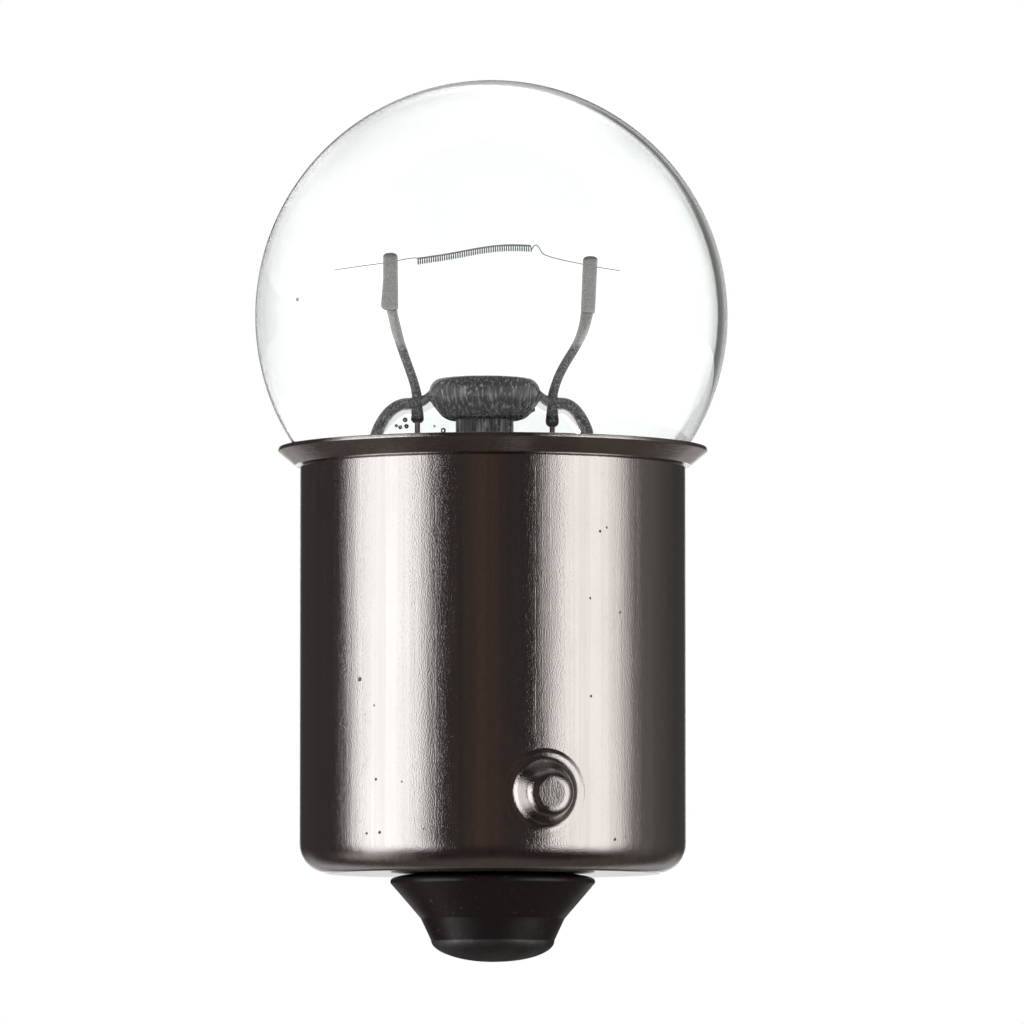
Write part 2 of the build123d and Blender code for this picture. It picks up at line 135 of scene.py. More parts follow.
# Filament: lengths in millimetres, and the shear as a ratio of the coil's radius
COIL_START = -2.66
COIL_END = 1.82
COIL_TURNS = 51.5
COIL_RADIUS = 0.125
COIL_SHEAR = 0.19
COIL_HEIGHT = 2.26
COIL_CLIMB = 0.43
COIL_ARCH = 0.48
COIL_SWAY = 0.05
COIL_DEPTH = 0.37
COIL_WIRE = 0.021
BEND_WIRE = 0.018
LEFT_TAIL_WIRE = 0.015
RIGHT_TAIL_WIRE = 0.016

# Folded clamps and their wires: millimetres
LEAF = 0.16
LEAF_CENTRE = 0.1
LEAF_SOFT = 0.05
LEAD_WIRE = 0.182
SEAL_SWELL = 0.015

# Pits in the plate's front, as (across, height, radius), and draw lines, as (across, half width): millimetres
PITS = [
    (-5.22, 4.64, 0.085), (-5.0, 3.27, 0.03), (-4.65, 3.62, 0.03), (-4.57, 0.72, 0.055),
    (-3.56, 0.64, 0.03), (-4.93, -1.39, 0.045), (-4.42, -1.35, 0.055), (-2.7, -1.2, 0.04),
    (4.2, 10.44, 0.05), (4.47, 10.59, 0.035), (3.81, 7.81, 0.04), (4.98, 7.26, 0.04),
    (3.85, 3.97, 0.04), (4.79, -1.63, 0.06), (4.87, -1.94, 0.045), (5.18, -1.55, 0.035),
    (-5.93, 2.88, 0.06),
]
DRAW_LINES = [(1.74, 0.02), (2.02, 0.016), (2.3, 0.024), (-2.05, 0.018)]

# Surroundings: degrees
BACKDROP_TILT = 5
RIM_REACH = 36


def camera_place():
    """Where the camera stands and the way to it from the point that it looks at, in metres."""
    side = math.radians(PHOTO_AZIMUTH)
    rise = math.radians(PHOTO_ELEVATION)
    toward = Vector((math.sin(side) * math.cos(rise), -math.cos(side) * math.cos(rise), math.sin(rise)))
    return PHOTO_TARGET + toward * PHOTO_DISTANCE, toward


def on_front(x, z, radius, centre=None):
    """A point in metres on the barrel or, with a centre, on the globe.

    The camera sees it at the place x and z, in millimetres, of the plane through the axis.
    """
    eye = TURN.inverted() @ camera_place()[0] / MM
    ray = (Vector((x, 0, z)) - eye).normalized()
    start = eye.copy()
    if centre is None:
        start.z = 0
        a = ray.x ** 2 + ray.y ** 2
        b = start.x * ray.x + start.y * ray.y
    else:
        start.z -= centre
        a = 1.0
        b = start.dot(ray)
    c = start.length_squared - radius ** 2
    along = (-b - math.sqrt(b ** 2 - a * c)) / a
    return TURN @ (eye + ray * along) * MM


def on_mount(x, y, z):
    """A point in metres from its place in millimetres in the frame of the wires and the press."""
    return TURN @ Vector((x + MOUNT_OFFSET, y, z + MOUNT_LIFT)) * MM


class Graph:
    """Short ways to add and join shader nodes."""

    def __init__(self, tree):
        self.tree = tree

    def node(self, kind, **settings):
        made = self.tree.nodes.new(kind)
        for key, value in settings.items():
            setattr(made, key, value)
        return made

    def join(self, source, target):
        self.tree.links.new(source, target)

    def put(self, socket, value):
        if isinstance(value, bpy.types.NodeSocket):
            self.join(value, socket)
        else:
            socket.default_value = value

    def math(self, operation, a, b=0.0, c=0.0, clamp=False):
        made = self.node("ShaderNodeMath", operation=operation, use_clamp=clamp)
        for index, value in enumerate((a, b, c)):
            self.put(made.inputs[index], value)
        return made.outputs[0]

    def plus(self, a, b):
        return self.math("ADD", a, b)

    def minus(self, a, b):
        return self.math("SUBTRACT", a, b)

    def times(self, a, b):
        return self.math("MULTIPLY", a, b)

    def most(self, a, b):
        return self.math("MAXIMUM", a, b)

    def scaled(self, a, scale, start):
        """The value times a scale, added to a start."""
        return self.math("MULTIPLY_ADD", a, scale, start)

    def absolute(self, a):
        return self.math("ABSOLUTE", a)

    def vector(self, operation, a, b=None, out="Vector"):
        made = self.node("ShaderNodeVectorMath", operation=operation)
        self.put(made.inputs[0], a)
        if b is not None:
            self.put(made.inputs[1], b)
        return made.outputs[out]

    def dot(self, a, b):
        return self.vector("DOT_PRODUCT", a, b, "Value")

    def axes(self, vector):
        split = self.node("ShaderNodeSeparateXYZ")
        self.join(vector, split.inputs[0])
        return split.outputs

    def mix(self, factor, a, b):
        made = self.node("ShaderNodeMix", data_type="RGBA")
        self.put(made.inputs["Factor"], factor)
        self.put(made.inputs[6], a)
        self.put(made.inputs[7], b)
        return made.outputs[2]

    def fade(self, value, start, end):
        """Runs smoothly from 1 at start to 0 at end."""
        made = self.node("ShaderNodeMapRange", interpolation_type="SMOOTHSTEP")
        self.put(made.inputs["Value"], value)
        made.inputs["From Min"].default_value = start
        made.inputs["From Max"].default_value = end
        made.inputs["To Min"].default_value = 1
        made.inputs["To Max"].default_value = 0
        return made.outputs[0]

    def ramp(self, factor, stops):
        """Colours, or plain numbers for greys, at places from 0 to 1."""
        made = self.node("ShaderNodeValToRGB")
        while len(made.color_ramp.elements) < len(stops):
            made.color_ramp.elements.new(0.5)
        for element, (position, tone) in zip(made.color_ramp.elements, stops):
            colour = tone if isinstance(tone, tuple) else (tone, tone, tone)
            element.position = position
            element.color = (*colour, 1)
        self.put(made.inputs[0], factor)
        return made.outputs[0]

    def spot(self):
        return self.node("ShaderNodeTexCoord").outputs["Object"]

    def noise(self, scale, detail=4.0, roughness=0.5, stretch=(1, 1, 1)):
        """Noise on the object's own coordinates, each of them multiplied first."""
        mapping = self.node("ShaderNodeMapping")
        mapping.inputs["Scale"].default_value = stretch
        self.join(self.spot(), mapping.inputs["Vector"])
        made = self.node("ShaderNodeTexNoise")
        self.join(mapping.outputs["Vector"], made.inputs["Vector"])
        made.inputs["Scale"].default_value = scale
        made.inputs["Detail"].default_value = detail
        made.inputs["Roughness"].default_value = roughness
        return made.outputs["Fac"]

    def bump(self, height, distance, normal=None):
        made = self.node("ShaderNodeBump")
        made.inputs["Strength"].default_value = 1
        made.inputs["Distance"].default_value = distance
        self.put(made.inputs["Height"], height)
        if normal is not None:
            self.put(made.inputs["Normal"], normal)
        return made.outputs["Normal"]

    def principled(self, output, colour, roughness, normal=None, **sockets):
        made = self.node("ShaderNodeBsdfPrincipled")
        self.put(made.inputs["Base Color"], colour)
        self.put(made.inputs["Roughness"], roughness)
        if normal is not None:
            self.put(made.inputs["Normal"], normal)
        for key, value in sockets.items():
            made.inputs[key.replace("_", " ")].default_value = value
        self.join(made.outputs["BSDF"], output.inputs["Surface"])
        return made

    def absorb(self, output, colour, density):
        made = self.node("ShaderNodeVolumeAbsorption")
        made.inputs["Color"].default_value = colour
        made.inputs["Density"].default_value = density
        self.join(made.outputs[0], output.inputs["Volume"])


def new_material(name):
    """An empty material with its output and a graph to fill."""
    material = bpy.data.materials.new(name)
    material.use_nodes = True
    tree = material.node_tree
    tree.nodes.clear()
    output = tree.nodes.new("ShaderNodeOutputMaterial")
    return material, output, Graph(tree)


def drawn_lines(g):
    """Where single deeper draw lines run down the plate's front, fainter here and there."""
    across = g.dot(g.spot(), ACROSS)
    drawn = 0.0
    for x, half in DRAW_LINES:
        off = g.absolute(g.minus(across, x * MM))
        drawn = g.most(drawn, g.fade(off, 0.0, half * MM))
    front = g.math("GREATER_THAN", g.dot(g.spot(), -BACKWARD), 0.0)
    broken = g.noise(1100, 3.0, 0.7)
    return g.times(g.times(drawn, front), g.fade(broken, 0.8, 0.36))


def pitted(g):
    """Where small pits with uneven edges lie in the plate's front."""
    uneven = g.scaled(g.noise(9000, 2.0), 0.09 * MM, -0.045 * MM)
    pit = 0.0
    for x, z, radius in PITS:
        off = g.vector("DISTANCE", g.spot(), on_front(x, z, BARREL_RADIUS), "Value")
        pit = g.most(pit, g.fade(g.plus(off, uneven), 0.4 * radius * MM, 1.15 * radius * MM))
    return pit


def nickel_plate():
    """Satin nickel on drawn sheet: fine grain, upright draw lines, a few pits and faint stains."""
    material, output, g = new_material("nickel_plate")
    height = g.axes(g.spot())[2]
    side_face = g.fade(height, (BARREL_BOTTOM + 0.05) * MM, (BARREL_BOTTOM + 0.01) * MM)
    grain = g.noise(17500, 1.0, 0.5, (1, 1, 1.4))
    lines = g.noise(15000, 2.0, 0.6, (1, 1, 0.0012))
    streak = g.noise(2300, 3.0, 0.62, (1, 1, 0.01))
    broad = g.noise(900, 2.0, 0.5, (1, 1, 0.06))
    stain = g.noise(420, 4.0, 0.6, (1, 1, 0.5))
    pit = pitted(g)
    normal = g.bump(g.times(broad, side_face), 16 * MICRON)
    normal = g.bump(g.times(lines, side_face), 1.4 * MICRON, normal)
    normal = g.bump(g.times(grain, side_face), 9 * MICRON, normal)
    normal = g.bump(drawn_lines(g), 3.6 * MICRON, normal)
    normal = g.bump(g.times(pit, -1.0), 30 * MICRON, normal)
    colour = g.ramp(stain, [(0.3, (0.635, 0.61, 0.595)), (0.7, (0.70, 0.675, 0.66))])
    colour = g.mix(g.times(g.fade(streak, 0.36, 0.6), 0.5), colour, (0.56, 0.535, 0.52, 1))
    colour = g.mix(g.times(pit, 0.7), colour, (0.05, 0.045, 0.04, 1))
    rough = g.most(g.scaled(lines, 0.05, 0.075), g.scaled(side_face, -0.2, 0.2))
    rough = g.scaled(pit, 0.4, rough)
    g.principled(output, colour, rough, normal, Metallic=1.0)
    return material


def clear_glass():
    """Blown glass, faintly wavy and dusty."""
    material, output, g = new_material("clear_glass")
    wave = g.noise(180, 1.0, 0.4)
    dust = g.noise(2600, 3.0, 0.6)
    rough = g.ramp(dust, [(0.66, 0.0), (0.85, 0.02)])
    tone = g.ramp(wave, [(0.3, (0.985, 0.995, 0.99)), (0.7, (0.995, 1.0, 0.998))])
    g.principled(output, tone, rough, g.bump(wave, 6 * MICRON), IOR=1.5, Transmission_Weight=1.0)
    g.absorb(output, (0.5, 0.85, 0.68, 1), 40.0)
    return material


def bowl_area(g, place, depth):
    """Where the bowl and the tube below it lie, which are painted grey for shade. The bowl narrows to the
    tube in a quarter of an ellipse.
    """
    away = g.vector("LENGTH", g.vector("MULTIPLY", place, (1, 1, 0)), out="Value")
    part = g.math("DIVIDE", depth, BOWL_DEPTH * MM, clamp=True)
    wide = g.math("SQRT", g.minus(1.0, g.times(part, part)))
    reach = g.scaled(wide, (BOWL_RADIUS - TUBE_RADIUS) * MM, TUBE_RADIUS * MM)
    return g.fade(g.minus(away, reach), 0.04 * MM, 0.1 * MM)


def press_edge_shade(g, place):
    """Where the press turns away from its flat faces, in a thinner band beside the bowl; there the glass is
    painted dark for shade.
    """
    normal = g.node("ShaderNodeNewGeometry").outputs["Normal"]
    facing = g.absolute(g.dot(normal, BACKWARD))
    beside = g.absolute(g.minus(g.absolute(g.dot(place, ACROSS)), THIN_EDGE_PLACE * MM))
    thin = g.times(g.fade(beside, 0.3 * MM, 0.55 * MM), 0.33)
    return g.fade(g.plus(facing, thin), 0.945, 0.985)


def stem_glass():
    """Pressed glass: clear flat faces, rounded edges painted dark for shade, and a melted bowl with upright
    streaks, painted grey for shade.
    """
    material, output, g = new_material("stem_glass")
    wave = g.noise(700, 2.0, 0.5)
    streak = g.noise(8500, 2.0, 0.6, (1, 1, 0.1))
    speck = g.noise(9000, 2.0, 0.6)
    fleck = g.fade(g.noise(8000, 2.0, 0.6, (1, 1, 0.4)), 0.68, 0.62)
    place = g.vector("SUBTRACT", g.spot(), on_mount(0, 0, 0))
    depth = g.minus(BOWL_HEIGHT * MM, g.axes(place)[2])
    bowl = bowl_area(g, place, depth)
    edge = press_edge_shade(g, place)
    normal = g.bump(wave, 20 * MICRON)
    normal = g.bump(g.times(streak, bowl), 12 * MICRON, normal)
    # Painted shade on the rounded edges: dark grey with paler specks.
    rim = g.ramp(speck, [(0.38, (0.04, 0.042, 0.04)), (0.54, (0.1, 0.104, 0.1)), (0.66, (0.42, 0.43, 0.42))])
    # Painted shade above the bowl's top: darker still, with paler specks.
    bowl_top_shade = g.ramp(speck, [(0.42, 0.014), (0.56, (0.035, 0.036, 0.035)), (0.68, (0.2, 0.205, 0.2))])
    # Painted grey shade of the bowl and tube in upright streaks; the same streaks also ripple the glass's
    # surface.
    body = g.ramp(streak, [
        (0.42, (0.04, 0.041, 0.04)), (0.53, (0.1, 0.102, 0.1)), (0.66, (0.45, 0.46, 0.45)),
    ])
    body = g.mix(g.fade(depth, 0.0, -0.25 * MM), bowl_top_shade, body)
    body = g.mix(fleck, body, (0.6, 0.61, 0.6, 1))
    # The rounded edges take the painted dark shade; the flat faces stay clear.
    tone = g.mix(edge, (0.99, 0.995, 0.993, 1), rim)
    # The bowl and tube take their painted grey shade.
    tone = g.mix(bowl, tone, body)
    glass = g.principled(output, tone, g.times(bowl, 0.06), normal, IOR=1.52)
    # Where the bowl and the rounded edges hold painted shade, less light passes through.
    dull = g.most(g.times(bowl, 0.8), g.times(edge, 0.6))
    g.join(g.minus(1.0, dull), glass.inputs["Transmission Weight"])
    g.absorb(output, (0.5, 0.8, 0.72, 1), 15.0)
    return material


def black_glass():
    """Moulded black glass with soft waves and a few paler specks."""
    material, output, g = new_material("black_glass")
    wave = g.noise(420, 3.0, 0.5)
    speck = g.noise(5200, 3.0, 0.7)
    colour = g.ramp(speck, [(0.62, (0.01, 0.007, 0.0065)), (0.8, (0.07, 0.06, 0.052))])
    rough = g.ramp(wave, [(0.35, 0.26), (0.7, 0.42)])
    g.principled(output, colour, rough, g.bump(wave, 30 * MICRON), IOR=1.52)
    return material


def metal(name, low, high, rough_low, rough_high, scale, ripple):
    """A bare metal with patches between two colours and fine ripples."""
    material, output, g = new_material(name)
    patch = g.noise(scale, 4.0, 0.6)
    fine = g.noise(scale * 7, 3.0, 0.6)
    normal = g.bump(g.plus(patch, g.times(fine, 0.35)), ripple)
    colour = g.ramp(patch, [(0.35, low), (0.68, high)])
    rough = g.ramp(fine, [(0.3, rough_low), (0.7, rough_high)])
    g.principled(output, colour, rough, normal, Metallic=1.0)
    return material


def tungsten():
    """Dark drawn tungsten."""
    return metal("tungsten", (0.08, 0.08, 0.085), (0.14, 0.14, 0.145), 0.3, 0.5, 4000, MICRON)


def copper_clad_wire():
    """Reddish copper on thin wire."""
    return metal("copper_clad_wire", (0.42, 0.22, 0.15), (0.66, 0.40, 0.30), 0.25, 0.45, 2400, 5 * MICRON)


def brass():
    """Plain yellow brass."""
    return metal("brass", (0.50, 0.36, 0.14), (0.72, 0.56, 0.27), 0.2, 0.4, 900, 5 * MICRON)


def nickel_wire():
    """Dull nickel wire: pale and speckled where it was flattened, darker towards the press."""
    material, output, g = new_material("nickel_wire")
    patch = g.noise(3000, 4.0, 0.6)
    speck = g.noise(14000, 2.0, 0.6)
    height = g.scaled(patch, 0.6 * MM, g.axes(g.spot())[2])
    dark_below = 17.85 * MM
    pale_above = 18.15 * MM
    low = g.fade(height, dark_below, pale_above)
    pale = g.ramp(speck, [(0.3, (0.36, 0.345, 0.335)), (0.7, (0.66, 0.635, 0.62))])
    dull = g.ramp(speck, [
        (0.4, (0.05, 0.047, 0.045)), (0.58, (0.15, 0.143, 0.138)), (0.68, (0.6, 0.58, 0.56)),
    ])
    colour = g.mix(low, pale, dull)
    normal = g.bump(g.plus(patch, g.times(speck, 0.4)), 10 * MICRON)
    rough = g.ramp(speck, [(0.3, 0.34), (0.7, 0.5)])
    g.principled(output, colour, rough, normal, Metallic=1.0)
    return material


def solder():
    """Dull rippled solder: grey on the contact, dark green with flux on the flange."""
    material, output, g = new_material("solder")
    patch = g.noise(700, 4.0, 0.6)
    fine = g.noise(5000, 3.0, 0.6)
    grey = g.ramp(patch, [(0.35, (0.12, 0.118, 0.12)), (0.68, (0.19, 0.186, 0.188))])
    green = g.ramp(fine, [(0.4, (0.05, 0.075, 0.06)), (0.7, (0.2, 0.25, 0.21))])
    on_flange = g.fade(g.axes(g.spot())[2], 2 * MM, 0.0)
    normal = g.bump(g.plus(patch, g.times(fine, 0.3)), 30 * MICRON)
    rough = g.ramp(fine, [(0.3, 0.5), (0.7, 0.7)])
    g.principled(output, g.mix(on_flange, grey, green), rough, normal, Metallic=1.0)
    return material


def cement():
    """Matte cement with a grainy skin."""
    material, output, g = new_material("cement")
    patch = g.noise(900, 5.0, 0.65)
    colour = g.ramp(patch, [(0.3, (0.42, 0.36, 0.29)), (0.7, (0.62, 0.56, 0.48))])
    g.principled(output, colour, 0.85, g.bump(patch, 50 * MICRON))
    return material


def floor_paint():
    """Plain pale paint."""
    material, output, g = new_material("floor_paint")
    colour = g.ramp(g.noise(40, 3.0), [(0.2, 0.95), (0.8, 0.98)])
    g.principled(output, colour, 0.9, Specular_IOR_Level=0.0)
    return material


def dress(obj, material):
    """Gives an object one material."""
    obj.data.materials.clear()
    obj.data.materials.append(material)


finish = {
    "clear_glass": clear_glass(),
    "stem_glass": stem_glass(),
    "tungsten": tungsten(),
    "nickel_wire": nickel_wire(),
    "copper_clad_wire": copper_clad_wire(),
    "nickel_plate": nickel_plate(),
    "black_glass": black_glass(),
    "brass": brass(),
    "solder": solder(),
    "cement": cement(),
}
for entry in frame["record"]["subparts"]:
    dress(nodes[entry["node"]], finish[entry["material_slot"]])


def add_object(name, mesh, slot, replaced=()):
    """A smooth piece that rides the root body, in a material of the record."""
    for polygon in mesh.polygons:
        polygon.use_smooth = True
    obj = bpy.data.objects.new(name, mesh)
    scene.collection.objects.link(obj)
    dress(obj, finish[slot])
    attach(obj, "root")
    if replaced:
        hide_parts(*replaced)
    return obj


def add_piece(name, verts, faces, slot, replaced=()):
    """A piece from vertices in metres and faces."""
    mesh = bpy.data.meshes.new(name)
    mesh.from_pydata([tuple(v) for v in verts], [], faces)
    mesh.validate()
    return add_object(name, mesh, slot, replaced)


def hermite(start, end, leave, arrive, steps):
    """Points of a curve between two ends with given directions, without its first point."""
    points = []
    for step in range(1, steps + 1):
        t = step / steps
        a = 2 * t ** 3 - 3 * t ** 2 + 1
        b = t ** 3 - 2 * t ** 2 + t
        c = 3 * t ** 2 - 2 * t ** 3
        d = t ** 3 - t ** 2
        points.append(start * a + leave * b + end * c + arrive * d)
    return points


def lathe(profile, sides, closed=False):
    """Vertices and faces of a profile of (radius, height) turned about Z.

    A closed profile makes a ring. An open one has both ends on the axis.
    """
    verts = []
    rings = []
    for radius, height in profile:
        if radius < 1e-9:
            rings.append([len(verts)] * sides)
            verts.append(Vector((0, 0, height)) * MM)
            continue
        rings.append(list(range(len(verts), len(verts) + sides)))
        for side in range(sides):
            angle = 2 * math.pi * side / sides
            verts.append(Vector((radius * math.cos(angle), radius * math.sin(angle), height)) * MM)
    faces = []
    if closed:
        rings.append(rings[0])
    for above, below in zip(rings, rings[1:]):
        for side in range(sides):
            after = (side + 1) % sides
            corners = [above[side], below[side], below[after], above[after]]
            faces.append(list(dict.fromkeys(corners)))
    return verts, faces


def rounded_outline(corners, margin=0.02):
    """Points of a closed outline whose corners, given as (radius, height, rounding), become short arcs.

    A point just past each end of an arc keeps the shading of the straight stretches even.
    """
    points = []
    count = len(corners)
    for index, (radius, height, soft) in enumerate(corners):
        here = Vector((radius, height))
        back = (Vector(corners[index - 1][:2]) - here).normalized()
        onward = (Vector(corners[(index + 1) % count][:2]) - here).normalized()
        start = here + back * soft
        end = here + onward * soft
        weight = math.sqrt((1 - back.dot(onward)) / 2)
        steps = 16 if soft > 0.5 else 5
        points.append(start + back * margin)
        for step in range(steps + 1):
            t = step / steps
            a = (1 - t) ** 2
            b = 2 * weight * t * (1 - t)
            c = t ** 2
            points.append((start * a + here * b + end * c) / (a + b + c))
        points.append(end + onward * margin)
    return points


def add_cap():
    """The drawn cap: a flared flange, a groove below it, the barrel, and a bottom with a round hole."""
    inside = BARREL_RADIUS - SHEET
    inner_bottom = BARREL_BOTTOM + SHEET
    inner_top = BARREL_TOP - SHEET / 2
    corners = [
        (*FLANGE_ROOT, ROOT_ROUNDING), (*FLANGE_RIM_TOP, SHARP_ROUNDING), (*FLANGE_RIM_FOOT, SHARP_ROUNDING),
        (*FLANGE_LIP, SHARP_ROUNDING), (*GROOVE, SHARP_ROUNDING), (BARREL_RADIUS, BARREL_TOP, TOP_ROUNDING),
        (BARREL_RADIUS, BARREL_BOTTOM, BOTTOM_ROUNDING), (HOLE_RADIUS, BARREL_BOTTOM, SHARP_ROUNDING),
        (HOLE_RADIUS, inner_bottom, SHARP_ROUNDING), (inside, inner_bottom, INNER_ROUNDING),
        (inside, inner_top, TOP_ROUNDING),
    ]
    profile = [(p.x, p.y) for p in rounded_outline(corners)]
    verts, faces = lathe(profile, 256, True)
    add_piece("drawn_cap", verts, faces, "nickel_plate", ["cap_shell"])


def pin_profile(steps=10):
    """Radius and rise of a drawn pin from its tip: flat, rounded shoulder, steep wall and hollowed root."""
    profile = [(PIN_FLAT * 0.4, PIN_RISE)]
    for step in range(steps + 1):
        angle = PIN_SLOPE * step / steps
        radius = PIN_FLAT + PIN_SHOULDER * math.sin(angle)
        profile.append((radius, PIN_RISE - PIN_SHOULDER * (1 - math.cos(angle))))
    foot = PIN_ROOT * (1 - math.cos(PIN_SLOPE))
    wall = (profile[-1][1] - foot) / math.tan(PIN_SLOPE)
    root = profile[-1][0] + wall + PIN_ROOT * math.sin(PIN_SLOPE)
    for step in range(steps + 1):
        angle = PIN_SLOPE * (1 - step / steps)
        profile.append((root - PIN_ROOT * math.sin(angle), PIN_ROOT * (1 - math.cos(angle))))
    return profile


def add_pin(name, side, sides=120, lip_steps=6):
    """A drawn pin, whose root stands up in a low lip at the top and runs out a little further below."""
    profile = pin_profile()
    root = profile[-1][0]
    for step in range(1, lip_steps + 1):
        profile.append((root + PIN_LIP * step / lip_steps, 0.0))
    profile.append((root + PIN_LIP + 2 * PIN_SINK, -PIN_SINK))
    verts = [Vector((0, side * (BARREL_RADIUS + PIN_RISE), -PIN_DROOP)) * MM]
    for radius, rise in profile:
        lift = min(max(rise / PIN_SHOULDER, 0.0), 1.0)
        droop = PIN_DROOP * rise / PIN_RISE
        past = min(max((radius - root) / PIN_LIP, 0.0), 1.0)
        fall = (1 - past ** 2) ** 1.5
        for step in range(sides):
            angle = 2 * math.pi * step / sides
            across = PIN_NARROW * radius * math.cos(angle)
            lip = PIN_LIP_RISE * max(math.cos(angle - PIN_LIP_PLACE), 0.0) ** 1.5 + PIN_SKIRT
            lower = 1 + PIN_STRETCH * max(-math.sin(angle), 0.0) * (1 - lift)
            skin = math.sqrt(BARREL_RADIUS ** 2 - across ** 2)
            out = skin + (BARREL_RADIUS - skin) * lift + rise + lip * fall * (1 - lift)
            verts.append(Vector((-side * across, side * out, radius * math.sin(angle) * lower - droop)) * MM)
    faces = []
    for step in range(sides):
        after = (step + 1) % sides
        faces.append([0, 1 + step, 1 + after])
        for ring in range(len(profile) - 1):
            low = 1 + ring * sides
            faces.append([low + step, low + sides + step, low + sides + after, low + after])
    add_piece(name, verts, faces, "nickel_plate")


def add_solder_dome(steps=18):
    """The contact's solder: a low dome whose side is slightly wavy and whose middle is even."""
    profile = [(0, DOME_TOP), (DOME_NECK, DOME_TOP)]
    for step in range(steps):
        angle = math.pi / 2 * step / steps
        profile.append((DOME_RADIUS * math.cos(angle), DOME_EDGE - DOME_DEPTH * math.sin(angle)))
    profile.append((0, DOME_EDGE - DOME_DEPTH))
    verts, faces = lathe(profile, 96)
    for vert in verts:
        if vert.z < DOME_WAVE_TOP * MM:
            angle = math.atan2(vert.y, vert.x)
            radius = math.hypot(vert.x, vert.y) / MM
            swell = DOME_WAVE * math.sin(3 * angle + 0.6) + DOME_FINE_WAVE * math.sin(7 * angle)
            vert.z += swell * MM * min(radius / DOME_CALM, 1.0)
    add_piece("solder_dome", verts, faces, "solder", ["contact_solder"])


def globe_side(radius, neck, steps=90):
    """Points of the globe's side from its top to its foot, of the turn into the neck, and of the neck."""
    drop = GLOBE_CENTRE - GLOBE_FOOT
    last = math.pi - math.acos(drop / radius)
    points = []
    for step in range(steps + 1):
        angle = last * step / steps
        points.append(Vector((radius * math.sin(angle), GLOBE_CENTRE + radius * math.cos(angle))))
    foot = points[-1]
    down = Vector((-drop, -foot.x)) / radius
    turn = hermite(foot, Vector((neck, NECK_TOP)), down * NECK_BEND, Vector((0, -NECK_BEND)), 14)
    return points + turn + [Vector((neck, NECK_MIDDLE)), Vector((neck, NECK_BOTTOM))]


def add_globe(sides=192):
    """The blown globe, which leans a little and whose wall is thinner on the left and at the top."""
    outer = globe_side(GLOBE_RADIUS, NECK_RADIUS)
    inner = globe_side(GLOBE_RADIUS - GLOBE_WALL, NECK_INSIDE)
    profile = [(p.x, p.y) for p in outer] + [(p.x, p.y) for p in reversed(inner)]
    verts, faces = lathe(profile, sides)
    lean = TURN @ GLOBE_LEAN * MM
    shift = TURN @ WALL_SHIFT * MM
    first_inner = (len(outer) - 1) * sides + 1
    for index, vert in enumerate(verts):
        t = min(max((vert.z / MM - LEAN_START) / LEAN_RUN, 0.0), 1.0)
        move = lean if index < first_inner else lean + shift
        vert += move * (t * t * (3 - 2 * t))
    add_piece("clear_globe", verts, faces, "clear_glass", ["glass_envelope"])


def tube_faces(count, sides):
    """Faces of a closed tube of rings, which all have the same number of sides."""
    faces = []
    for ring in range(count - 1):
        for side in range(sides):
            after = (side + 1) % sides
            low = ring * sides
            faces.append([low + side, low + after, low + sides + after, low + sides + side])
    faces.append(list(reversed(range(sides))))
    faces.append(list(range((count - 1) * sides, count * sides)))
    return faces


def wire(points, widths, sides):
    """A round wire through points in the mount frame, with a radius at each and frames carried along it."""
    verts = []
    last = len(points) - 1
    aside = Vector((0, 1, 0))
    for index, point in enumerate(points):
        along = (points[min(index + 1, last)] - points[max(index - 1, 0)]).normalized()
        aside = (aside - along * aside.dot(along)).normalized()
        other = along.cross(aside)
        for side in range(sides):
            angle = 2 * math.pi * side / sides
            round_off = aside * math.cos(angle) + other * math.sin(angle)
            verts.append(on_mount(*(point + round_off * widths[index])))
    return verts, tube_faces(len(points), sides)


def coil_centre(t):
    """The arched middle line of the coil, from its left end at 0 to its right end at 1."""
    x = COIL_START + (COIL_END - COIL_START) * t
    rise = COIL_HEIGHT + COIL_CLIMB * t + COIL_ARCH * t * (1 - t) - COIL_SWAY * math.sin(2 * math.pi * t)
    return Vector((x, COIL_DEPTH * (1 - 2 * t), MOUNT_CENTRE + rise))


def coil_points(per_turn=18):
    """Points of the coiled wire, turn by turn along the coil's middle line."""
    steps = int(COIL_TURNS * per_turn)
    points = []
    for step in range(steps + 1):
        angle = 2 * math.pi * step / per_turn
        around = Vector((COIL_SHEAR * math.sin(angle), math.sin(angle), math.cos(angle)))
        points.append(coil_centre(step / steps) + around * COIL_RADIUS)
    return points


def add_filament():
    """A close coil whose straight tails leave it in soft bends and pass through the folded clamps."""
    coil = coil_points()
    base = MOUNT_CENTRE
    left = [
        Vector((-5.93, 0, base + 1.88)), Vector((-4.9, 0, base + 2.03)),
        Vector((-4.0, 0, base + 2.15)), Vector((-3.42, 0.02, base + 2.25)),
    ]
    entry = hermite(left[-1], coil[0], Vector((0.8, 0.25, 0.2)), Vector((0.35, 0.25, -0.05)), 14)[:-1]
    peak = Vector((2.03, -0.37, base + 2.82))
    valley = Vector((2.3, -0.3, base + 2.47))
    hold = Vector((3.85, 0, base + 2.1))
    over_peak = Vector((0.25, 0.1, 0.0))
    hump = hermite(coil[-1], peak, Vector((0.15, -0.1, 0.45)), over_peak, 10)
    hump += hermite(peak, valley, over_peak, Vector((0.3, 0.1, -0.25)), 10)
    right = hermite(valley, hold, Vector((0.9, 0.2, -0.45)), Vector((1.5, 0.1, -0.3)), 12)
    right += [Vector((4.5, 0, base + 1.97)), Vector((5.3, 0, base + 1.84))]
    points = left + entry + coil + hump + right
    widths = [LEFT_TAIL_WIRE] * len(left + entry) + [COIL_WIRE] * len(coil)
    widths += [BEND_WIRE] * len(hump) + [RIGHT_TAIL_WIRE] * len(right)
    verts, faces = wire(points, widths, 7)
    add_piece("coiled_filament", verts, faces, "tungsten", ["filament"])


